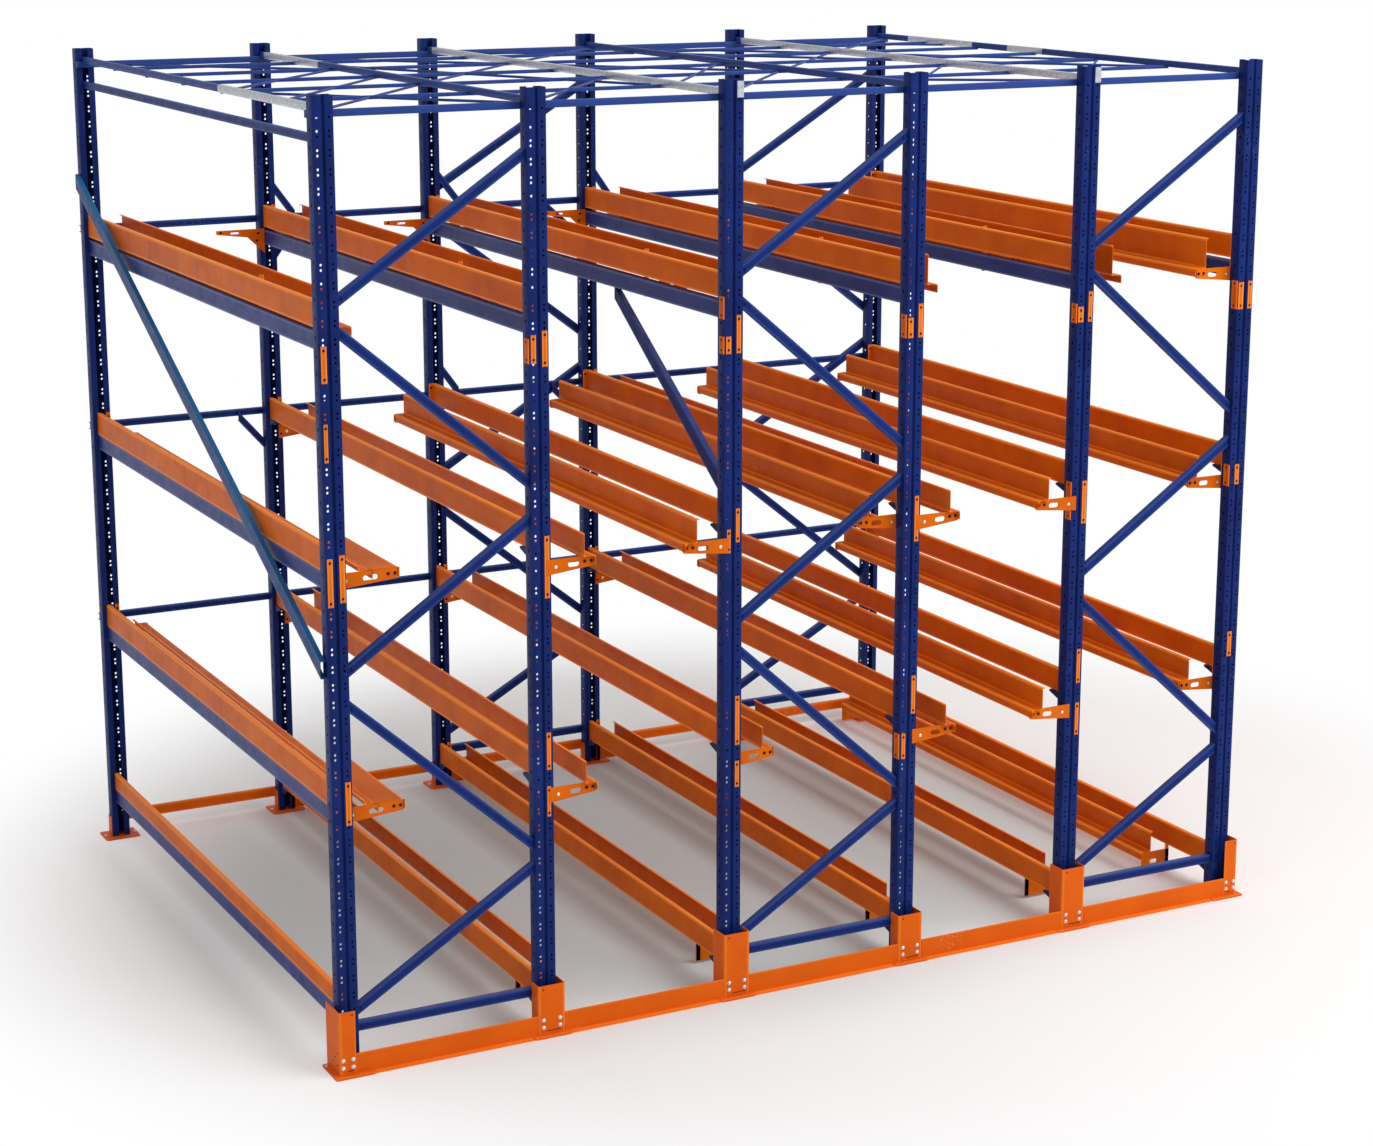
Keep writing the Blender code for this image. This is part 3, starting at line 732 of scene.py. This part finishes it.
# Spare arms on the left of three rear uprights, deep at the root and thin at the tip
spare = {
    "lines": (1, 2, 3), "drop": 0.16, "tip": 0.37, "end": 0.026, "bend": 0.15, "middle": 0.055, "root": 0.17,
    "hole": (0.24, 0.022), "holeSize": (0.03, 0.007), "bolts": ((0.075, 0.03), (0.085, 0.08), (0.34, 0.014)),
}
shapes = []
shelf = railTops[0] - spare["drop"]
face = rearInner - arm["wall"]
for x in lineX[list(spare["lines"])]:
    outline = [(x - arm["inner"], shelf), (x - spare["tip"], shelf), (x - spare["tip"], shelf - spare["end"]),
               (x - spare["bend"], shelf - spare["middle"]), (x - arm["inner"], shelf - spare["root"])]
    inset, drop = spare["hole"]
    hole = ovalHole(x - inset, shelf - drop, *spare["holeSize"])
    shapes.append(plateShape(outline, [hole], 1, face, rearInner))
    for inset, drop in spare["bolts"]:
        addBolt(blackBolts, "strap", (x - inset, face, shelf - drop))
makePiece("rear_spare_arms", shapes, railCoat)


# Blue beams: channels that lie under the first rails
beam = {"height": 0.1, "halfWidth": 0.027, "space": 0.02, "sheet": (0.004, 0.006)}


# A beam from row to row: two flanges, open toward +X, and a web on the left of the line
def beamShape(x, top):
    left = x - beam["halfWidth"]
    right = x + beam["halfWidth"]
    corners = [(right, top), (left, top), (left, top - beam["height"]), (right, top - beam["height"])]
    return foldedBar(corners, beam["sheet"], frontInner, rearInner)


beamTops = [(f"beam_line{line + 1}_level1", line, railTops[0] - rail["height"] - beam["space"])
            for line in range(lineCount)]
beamTops += [(f"beam_line1_level{level + 1}", 0, railTops[level] - rail["height"] - gap)
             for level in (1, 2)]
beamTops.append(("beam_line1_floor", 0, floorRail["sideTop"] - floorRail["sideHeight"] - gap))
for node, line, top in beamTops:
    dressNode(node, "folded", [beamShape(lineX[line], top)], beamSheenCoat)
print("beams folded")


# Lacing: channels between the uprights with their web to the front, bolted at both ends.
# The shares of the height are each bar's upper and lower end.
lacing = {
    "width": 0.055, "depth": 0.04, "sheet": (0.003, 0.005), "boltFromEnd": 0.032,
    "shares": ((0.935, 0.80), (0.77, 0.60), (0.56, 0.425), (0.39, 0.21), (0.185, 0.063), (0.045, 0.045)),
}


# A zigzag between two uprights: every second bar falls the other way
def zigzagShapes(left, right, y, boltY):
    outline = channelOutline(lacing["width"], lacing["depth"], lacing["sheet"])
    shapes = []
    for barIndex, (upper, lower) in enumerate(lacing["shares"]):
        first, last = (upper, lower) if barIndex % 2 else (lower, upper)
        start = np.array((left, y, first * rackHeight))
        end = np.array((right, y, last * rackHeight))
        shapes.append(strut(outline, start, end, (0, 1, 0), 0))
        along = (end - start) / np.linalg.norm(end - start)
        for place in (start + along * lacing["boltFromEnd"], end - along * lacing["boltFromEnd"]):
            place[1] = boltY
            addBolt(paintedBolts, "lacing", place)
    return shapes


for bay in rack["lacedBays"]:
    shapes = zigzagShapes(lineX[bay] + beside, lineX[bay + 1] - beside, frontRow,
                          frontRow - lacing["depth"] / 2)
    dressNode(f"lacing_front_{bay + 1}_{bay + 2}", "channels", shapes, braceCoat)
print("lacing bolted")


# Rear bracing: ties on three levels, the zigzag in two bays and short knee braces
rear = {
    "depth": 0.035, "tieHeight": 0.045, "tieDrop": 0.08, "sheet": (0.003, 0.005),
    "kneeWidth": 0.045, "kneeDepth": 0.025, "kneeSheet": (0.003, 0.004), "kneeInset": 0.03,
}
# each knee: line, side, height on the upright, height on the tie, distance from the line
knees = (
    (1, 1, 4.53, 4.27, 0.22), (1, 1, 3.95, 4.24, 0.24), (2, 1, 4.55, 4.28, 0.24), (3, 1, 4.52, 4.28, 0.2),
    (2, 1, 3.16, 2.93, 0.2), (3, -1, 3.98, 4.24, 0.32), (3, -1, 2.66, 2.9, 0.28), (1, -1, 2.66, 2.9, 0.24),
)
rearMiddle = rearOuter + rear["depth"] / 2
outline = channelOutline(rear["tieHeight"], rear["depth"], rear["sheet"])
shapes = []
for top in railTops:
    z = top - rear["tieDrop"] - rear["tieHeight"] / 2
    shapes.append(strut(outline, (rackLeft, rearMiddle, z), (rackRight, rearMiddle, z), (0, 1, 0), 0))
for bay in rack["rearLacedBays"]:
    shapes += zigzagShapes(lineX[bay], lineX[bay + 1], rearMiddle, rearOuter)
outline = channelOutline(rear["kneeWidth"], rear["kneeDepth"], rear["kneeSheet"])
for line, side, zUpright, zTie, distance in knees:
    y = rearRow + rear["kneeInset"]
    start = (lineX[line] + side * rear["kneeInset"], y, zUpright)
    shapes.append(strut(outline, start, (lineX[line] + side * distance, y, zTie), (0, 1, 0), 0))
dressNode("rear_bracing", "channels", shapes, braceCoat)
print("rear bracing bolted")


# Side diagonals: one outside the first line from row to row, one inside the third line that
# ends under its top beam
diagonal = {
    "width": 0.09, "depth": 0.03, "innerDepth": 0.04, "sheet": (0.003, 0.005), "shares": (0.43, 0.84),
    "innerLine": 2, "innerFront": 0.566, "innerBack": 0.325, "rowDepth": 4.45, "stop": 0.035,
}
outline = channelOutline(diagonal["width"], diagonal["depth"], diagonal["sheet"])
x = lineX[0] - beside - diagonal["depth"] / 2
start = (x, frontRow, diagonal["shares"][0] * rackHeight)
end = (x, rearRow, diagonal["shares"][1] * rackHeight)
dressNode("side_diagonal_outer", "channel", [strut(outline, start, end, (1, 0, 0), 1)], diagonalCoat)
outline = channelOutline(diagonal["width"], diagonal["innerDepth"], diagonal["sheet"])
underside = railTops[0] - rail["height"] - beam["space"] - beam["height"] - gap
x = lineX[diagonal["innerLine"]]
start = np.array((x, frontInner, diagonal["innerFront"] * rackHeight))
end = np.array((x, frontInner + diagonal["innerBack"] * diagonal["rowDepth"], underside))
along = (end - start) / np.linalg.norm(end - start)
shape = strut(outline, start, end - along * diagonal["stop"], (1, 0, 0), 1)
shape[0][:, 2] = np.minimum(shape[0][:, 2], underside)
dressNode("side_diagonal_inner", "channel", [shape], braceCoat)
print("diagonals set")


# Front sill: an angle along the floor between the protectors, and the base plates
sill = {"height": 0.13, "sheet": (0.005, 0.006), "flange": 0.03, "face": -0.1125}
plate = {
    "width": 0.24, "thickness": 0.01, "front": 0.15, "back": 0.093, "corner": 0.012,
    "frontAnchor": (0.103, 0.055), "rearAnchor": (0.1, 0.0),
}
protector = {
    "width": 0.17, "sheet": (0.005, 0.008), "deepFlange": 0.14, "shallow": -0.022, "foot": 0.0103,
    "tall": 0.395, "low": 0.3, "tallLines": (2, 4), "endHeight": 0.375, "endFace": 0.097, "endDepth": 0.21,
    "boltHeights": (0.055, 0.1), "bolts": 0.052, "endBolts": (0.02, 0.018),
    "slotShade": (0.03, 0.034), "slotShadeShares": (0.6, 1.1), "slotShadeDepth": 0.001, "slotShadeCorner": 0.0004,
    "topHole": 0.022, "sideHoles": ((0.03, 0.135), (0.075, 0.1), (0.045, 0.06), (0.1, 0.07)),
}
half = protector["width"] / 2


# A base plate with an anchor bolt on each side of the upright
def basePlate(x, rowY, front, anchor):
    across, deep = anchor
    for side in (-1, 1):
        addBolt(silverBolts, "anchor", (x + side * across, rowY + deep, plate["thickness"]), 2, 1)
    low = (x - plate["width"] / 2, rowY - front, 0)
    high = (x + plate["width"] / 2, rowY + plate["back"], plate["thickness"])
    return blockShape(low, high, plate["corner"])


shapes = [basePlate(x, frontRow, plate["front"], plate["frontAnchor"]) for x in lineX]
face = frontRow + sill["face"]
back = face + sill["sheet"][0]
corners = [(face - sill["flange"], 0), (back, 0), (back, sill["height"])]
reaches = [protector["endFace"] - half] + [half] * (lineCount - 2) + [protector["endFace"] - half]
for bay in range(lineCount - 1):
    left = lineX[bay] + reaches[bay] + gap
    right = lineX[bay + 1] - reaches[bay + 1] - gap
    shapes.append(foldedBar(corners, sill["sheet"], left, right, 1, 0))
dressNode("front_sill", "folded", shapes, plateCoat)

# Rear sill: plates, shoes and the low bar across the back
shoe = {
    "height": 0.15, "sheet": (0.005, 0.006), "foot": 0.002, "depth": 0.07,
    "barLow": 0.09, "barHeight": 0.07, "barDepth": 0.028, "barSheet": (0.003, 0.005), "barSpace": 0.002,
}
shapes = []
wall = shoe["sheet"][0]
outerFace = rearOuter + wall
for line, x in enumerate(lineX):
    shapes.append(basePlate(x, rearRow, plate["back"], plate["rearAnchor"]))
    side = -1 if line < lineCount - 1 else 1
    flank = x + side * (beside + wall)
    corners = [(flank, outerFace - shoe["depth"]), (flank, outerFace), (x - side * uprightHalf, outerFace)]
    shapes.append(foldedBar(corners, shoe["sheet"], shoe["foot"], shoe["height"], side, 2))
y = rearOuter + shoe["barSpace"] + shoe["barDepth"] / 2
outline = channelOutline(shoe["barHeight"], shoe["barDepth"], shoe["barSheet"])
z = shoe["barLow"] + shoe["barHeight"] / 2
shapes.append(strut(outline, (lineX[0], y, z), (lineX[-1], y, z), (0, 1, 0), 0))
dressNode("rear_sill", "folded", shapes, plateCoat)
print("sills and plates set")


# Protectors: folded plates with four bolts low down, a small black disc at an upper corner as painted shade
# for a hole, and a dark strip as painted shade for a slot
strips = []
for line, x in enumerate(lineX):
    front = sill["face"]
    if line in (0, lineCount - 1):
        side = -1 if line == 0 else 1
        inner = half - protector["endFace"]
        corners = [(side * half, front + protector["endDepth"]), (side * half, front), (side * inner, front)]
        height = protector["endHeight"]
        outerInset, innerInset = protector["endBolts"]
        boltColumns = (side * (half - outerInset), side * (inner + innerInset))
        side = -side
    else:
        side = 1
        deep = front + protector["deepFlange"]
        ends = [protector["shallow"] if bay in rack["lacedBays"] else deep for bay in (line - 1, line)]
        corners = [(-half, ends[0]), (-half, front), (half, front), (half, ends[1])]
        height = protector["tall"] if line in protector["tallLines"] else protector["low"]
        boltColumns = (-protector["bolts"], protector["bolts"])
    top = protector["foot"] + height
    shape = foldedBar(corners, protector["sheet"], protector["foot"], top, side, 2)
    dressNode(f"protector_{line + 1}", "folded", [moved(shape, (x, frontRow, 0))], plateCoat)
    for column in boltColumns:
        for z in protector["boltHeights"]:
            addBolt(silverBolts, "protector", (x + column, face, z))
    # a dark strip at the foot of the face, painted shade that stands in for a slot, and small black discs in
    # the first one's side, painted shade that stands in for holes
    near, far = (column * share for column, share in zip(boltColumns, protector["slotShadeShares"]))
    low = (x + min(near, far), face - protector["slotShadeDepth"], protector["slotShade"][0])
    high = (x + max(near, far), face, protector["slotShade"][1])
    strips.append(blockShape(low, high, protector["slotShadeCorner"]))
    if line == 0:
        for deep, z in protector["sideHoles"]:
            addBolt(blackBolts, "sideHole", (x - half, face + deep, z), 0)
    # painted shade: a small black disc stands in for the hole at an upper corner
    corner = boltColumns[1] if line == 0 else boltColumns[0]
    addBolt(blackBolts, "topHole", (x + corner, face, top - protector["topHole"]))
makePiece("protector_slot_shade_strips", strips, darkBolt)
print("protectors bolted")


# Orange strips on the front uprights' faces, and plates on their left flanges
tab = {
    "thickness": 0.004, "corner": 0.0015, "bolt": 0.022, "flangeBolt": 0.02,
    "flangePlaces": (-0.042, -0.012, 0.012),
}
# each strip: line, left edge, right edge, low, high
tabs = (
    (0, -0.05, -0.018, 3.93, 4.13), (0, -0.046, -0.024, 3.5, 3.71), (0, -0.05, -0.018, 2.7, 2.97),
    (0, 0.02, 0.052, 2.72, 2.985), (0, 0.018, 0.05, 1.45, 1.7),
    (1, -0.05, -0.02, 3.94, 4.1), (1, 0.018, 0.05, 3.92, 4.12), (1, 0.018, 0.048, 2.6, 2.96),
    (1, 0.018, 0.044, 1.59, 1.81), (1, 0.018, 0.04, 1.31, 1.49),
    (2, -0.05, -0.018, 3.9, 4.0), (2, 0.018, 0.046, 3.9, 4.12), (2, -0.04, -0.018, 2.73, 2.87),
    (2, 0.018, 0.042, 2.79, 2.99), (2, 0.018, 0.046, 1.56, 1.86), (2, 0.018, 0.044, 1.3, 1.46),
    (3, -0.05, -0.016, 3.9, 4.02), (3, 0.02, 0.05, 3.9, 4.1), (3, 0.018, 0.046, 2.66, 2.94),
    (3, 0.018, 0.046, 1.58, 1.82), (3, -0.046, -0.02, 1.3, 1.46),
    (4, -0.054, -0.016, 3.905, 4.0), (4, 0.02, 0.048, 3.905, 4.09), (4, 0.018, 0.05, 2.64, 2.91),
    (4, 0.018, 0.044, 1.61, 1.83), (4, 0.018, 0.044, 1.27, 1.48),
    (5, -0.054, -0.016, 3.9, 4.07), (5, 0.02, 0.05, 3.9, 4.075), (5, -0.02, 0.012, 2.77, 2.9),
    (5, -0.02, 0.012, 1.63, 1.795),
)
shapes = []
face = frontOuter - tab["thickness"]
for line, left, right, low, high in tabs:
    x = lineX[line]
    shapes.append(blockShape((x + left, face, low), (x + right, frontOuter, high), tab["corner"]))
    for z in (low + tab["bolt"], high - tab["bolt"]):
        addBolt(blackBolts, "strip", (x + (left + right) / 2, face, z))
# each flange plate: line, low, high
flangePlates = (
    (1, 3.94, 4.08), (2, 3.9, 4.0), (2, 4.1, 4.23), (3, 3.9, 4.04), (4, 3.9, 4.02), (5, 3.9, 4.08),
    (4, 2.67, 2.91), (5, 2.76, 2.9), (3, 1.3, 1.46),
)
for line, low, high in flangePlates:
    flank = lineX[line] - beside
    front, middle, back = (frontRow + place for place in tab["flangePlaces"])
    shapes.append(blockShape((flank - tab["thickness"], front, low), (flank, back, high), tab["corner"]))
    for z in (low + tab["flangeBolt"], high - tab["flangeBolt"]):
        addBolt(blackBolts, "flange", (flank - tab["thickness"], middle, z), 0)
makePiece("upright_face_strips", shapes, railCoat)
print("strips bolted")


# Roof: tubes on every line and along both rows, thin rods across each bay and zinc clamps
roof = {
    "tieWidth": 0.035, "tieHeight": 0.04, "tieSpace": 0.002, "crossDepth": 0.03, "lowerHeight": 0.045,
    "tieShare": 0.99, "crossShare": 0.985, "lowerShare": 0.961, "rod": 0.016, "rodSides": 8, "rodDrop": 0.012,
    "bar": 0.022, "barShares": (0.18, 0.36, 0.53, 0.7, 0.86), "rodReach": 0.98, "rodStart": 0.03,
    "sleeveWall": 0.003, "sleeveStart": 0.01, "clampWall": 0.003, "clampSides": (0.016, 0.058),
    "clampDrops": (0.1, 0.008), "clampCorner": 0.001, "clampLines": (2, 4),
}
span = rearInner - frontInner
tieMiddle = roof["tieShare"] * rackHeight - roof["tieHeight"] / 2
crossTop = roof["crossShare"] * rackHeight
lowMiddle = roof["lowerShare"] * rackHeight - roof["lowerHeight"] / 2


# A rod's place in depth: its share of the way from the front row to the rear row
def rodY(share):
    return frontInner + share * span * roof["rodReach"] + roof["rodStart"]


outline = tubeOutline(roof["tieWidth"], roof["tieHeight"])
shapes = []
for x in lineX:
    start = frontInner + roof["tieSpace"]
    shapes.append(barAlong(outline, 1, start, rearInner - roof["tieSpace"], (x, 0, tieMiddle)))
outline = tubeOutline(roof["tieWidth"], roof["lowerHeight"])
shapes.append(barAlong(outline, 1, frontInner, rearInner, (lineX[0], 0, lowMiddle)))
outline = tubeOutline(roof["crossDepth"], roof["tieHeight"])
for y in (frontInner + roof["crossDepth"] / 2, rearInner - roof["crossDepth"] / 2):
    shapes.append(barAlong(outline, 0, rackLeft, rackRight, (0, y, crossTop - roof["tieHeight"] / 2)))
rodTurn = np.arange(roof["rodSides"]) / roof["rodSides"] * math.tau
rodOutline = np.stack([np.cos(rodTurn), np.sin(rodTurn)], 1) * roof["rod"] / 2
rodZ = crossTop - roof["rodDrop"]
# plan rods across one bay each: the bay, and the shares of the depth where they start and end
rods = (
    (0, 0.0, 0.36), (0, 0.36, 0.0), (0, 0.36, 0.7), (0, 1.0, 0.7), (1, 0.36, 0.7), (1, 0.0, 0.36),
    (1, 1.0, 0.7), (2, 0.0, 0.36), (2, 0.7, 0.36), (2, 0.7, 1.0), (3, 0.0, 0.36), (3, 0.36, 0.7),
    (3, 1.0, 0.7), (4, 0.0, 0.36), (4, 0.7, 0.36), (4, 0.7, 1.0), (0, 0.15, 0.52), (1, 0.84, 0.2),
    (2, 0.16, 0.55), (2, 1.0, 0.84), (3, 0.18, 0.0), (3, 0.86, 0.5), (4, 0.5, 0.18), (4, 1.0, 0.8),
)
for bay, startShare, endShare in rods:
    start = (lineX[bay], rodY(startShare), rodZ)
    shapes.append(strut(rodOutline, start, (lineX[bay + 1], rodY(endShare), rodZ), (0, 0, 1), 0))
outline = tubeOutline(roof["bar"], roof["bar"])
for share in roof["barShares"]:
    shapes.append(barAlong(outline, 0, lineX[0], lineX[-1], (0, rodY(share), rodZ)))
dressNode("roof_ties", "tubes", shapes, braceCoat)
# sleeves of bare zinc over the ties, a little wider than the tube: line, start and end share
sleeves = ((0, 0.0, 0.36), (1, 0.74, 0.98), (2, 0.0, 0.98), (4, 0.0, 0.98), (5, 0.5, 0.6), (5, 0.7, 0.9))
outline = tubeOutline(roof["tieWidth"] + roof["sleeveWall"], roof["tieHeight"] + roof["sleeveWall"])
shapes = []
for line, startShare, endShare in sleeves:
    start = frontInner + roof["sleeveStart"] + startShare * span
    shapes.append(barAlong(outline, 1, start, frontInner + endShare * span, (lineX[line], 0, tieMiddle)))
# clamp plates of bare zinc on two uprights' faces, where those ties are bolted
for line in roof["clampLines"]:
    left, right = (lineX[line] + place for place in roof["clampSides"])
    low, high = (rackHeight - drop for drop in roof["clampDrops"])
    place = (left, frontOuter - roof["clampWall"], low)
    shapes.append(blockShape(place, (right, frontOuter, high), roof["clampCorner"]))
makePiece("roof_tie_sleeves", shapes, clampZinc)
print("roof ties set")

makePiece("bolts_zinc", silverBolts, boltZinc, (), 30)
makePiece("bolts_black", blackBolts, darkBolt, (), 30)
makePiece("bolts_painted", paintedBolts, braceCoat, (), 30)
print("bolts:", len(silverBolts) + len(blackBolts) + len(paintedBolts), "pieces:", len(pieces))


# Stage: a pale floor that keeps the rack's shadow, with a painted shadow under the rack, and turns to white
# away from it
stage = {
    "size": 60.0, "drop": 0.0005, "whiteBand": (3.8, 6.2), "whiteCentre": (1.1, 0.0, 0.0),
    "floorColour": "#F4F3F2",
    # the colour, shares and band below draw the painted shadow under the rack
    "paintedShadowColour": "#D4DEDE", "paintedShadowShares": (0.3, 0.4, 0.0), "paintedShadowBand": (0.7, 1.3),
}
fullWhite = {"Color": (1, 1, 1, 1), "Strength": 1.0}
floorMesh = bpy.data.meshes.new("floor")
edge = stage["size"]
corners = [(-edge, -edge, 0), (edge, -edge, 0), (edge, edge, 0), (-edge, edge, 0)]
floorMesh.from_pydata(corners, [], [(0, 1, 2, 3)])
floor = bpy.data.objects.new("floor", floorMesh)
floor.location.z = -stage["drop"]
scene.collection.objects.link(floor)
floorMaterial = bpy.data.materials.new("floor_pale_concrete")
floorMaterial.use_nodes = True
tree = floorMaterial.node_tree
tree.nodes.clear()
place = addNode(tree, "TexCoord").outputs["Object"]
distance = addNode(tree, "VectorMath", {"operation": "DISTANCE", 1: stage["whiteCentre"]}, [(0, place)])
away = spread(tree, distance.outputs["Value"], stage["whiteBand"], curve="SMOOTHSTEP")
path = addNode(tree, "LightPath").outputs
seen = combine(tree, "MAXIMUM", path["Is Camera Ray"], path["Is Glossy Ray"])
share = combine(tree, "MULTIPLY", away, seen)
# painted shadow: under the rack the floor is a darker, cooler grey, a painted shade that also takes back the
# orange that the rails cast on it
inside = addNode(tree, "VectorMath", {"operation": "MULTIPLY", 1: stage["paintedShadowShares"]}, [(0, place)])
length = addNode(tree, "VectorMath", {"operation": "LENGTH"}, [(0, inside.outputs[0])])
outsidePaintedShadow = spread(tree, length.outputs["Value"], stage["paintedShadowBand"], curve="SMOOTHSTEP")
grey = blend(tree, outsidePaintedShadow, stage["paintedShadowColour"], stage["floorColour"])
lit = addNode(tree, "BsdfDiffuse", {}, [(0, grey)])
white = addNode(tree, "Emission", fullWhite)
mix = addNode(tree, "MixShader", {}, [(0, share), (1, lit.outputs[0]), (2, white.outputs[0])])
addNode(tree, "OutputMaterial", {}, [(0, mix.outputs[0])])
floorMesh.materials.append(floorMaterial)

# Light: a soft even sky, white to the camera, and one large soft lamp from the front right
light = {"sky": 0.66, "key": 1500.0, "keySize": 10.0, "keyFrom": (7.0, -9.0, 13.0), "keyAt": (0, 0, 2)}
world = bpy.data.worlds.new("studio")
scene.world = world
world.use_nodes = True
tree = world.node_tree
tree.nodes.clear()
path = addNode(tree, "LightPath").outputs
seen = combine(tree, "MAXIMUM", path["Is Camera Ray"], path["Is Transmission Ray"])
dim = addNode(tree, "Background", {"Color": (1, 1, 1, 1), "Strength": light["sky"]})
bright = addNode(tree, "Background", fullWhite)
mix = addNode(tree, "MixShader", {}, [(0, seen), (1, dim.outputs[0]), (2, bright.outputs[0])])
addNode(tree, "OutputWorld", {}, [(0, mix.outputs[0])])
lampData = bpy.data.lights.new("key", "AREA")
lampData.energy = light["key"]
lampData.size = light["keySize"]
lamp = bpy.data.objects.new("key", lampData)
lamp.location = light["keyFrom"]
lamp.rotation_euler = (Vector(light["keyAt"]) - Vector(light["keyFrom"])).to_track_quat("-Z", "Y").to_euler()
scene.collection.objects.link(lamp)

# Camera: fitted to the uprights' tops and feet in the photograph
view = {
    "place": (-8.1784, -16.1598, 6.5781), "yaw": 27.558, "pitch": 13.048, "lens": 73.63, "shiftY": -0.0364,
    "sensor": 36.0, "far": 200.0,
}
cameraData = bpy.data.cameras.new("camera")
cameraData.lens = view["lens"]
cameraData.sensor_width = view["sensor"]
cameraData.shift_y = view["shiftY"]
cameraData.clip_end = view["far"]
camera = bpy.data.objects.new("camera", cameraData)
camera.location = view["place"]
camera.rotation_euler = (math.radians(90 - view["pitch"]), 0, math.radians(-view["yaw"]))
scene.collection.objects.link(camera)
scene.camera = camera
scene.view_settings.view_transform = "Standard"

print("scene made")
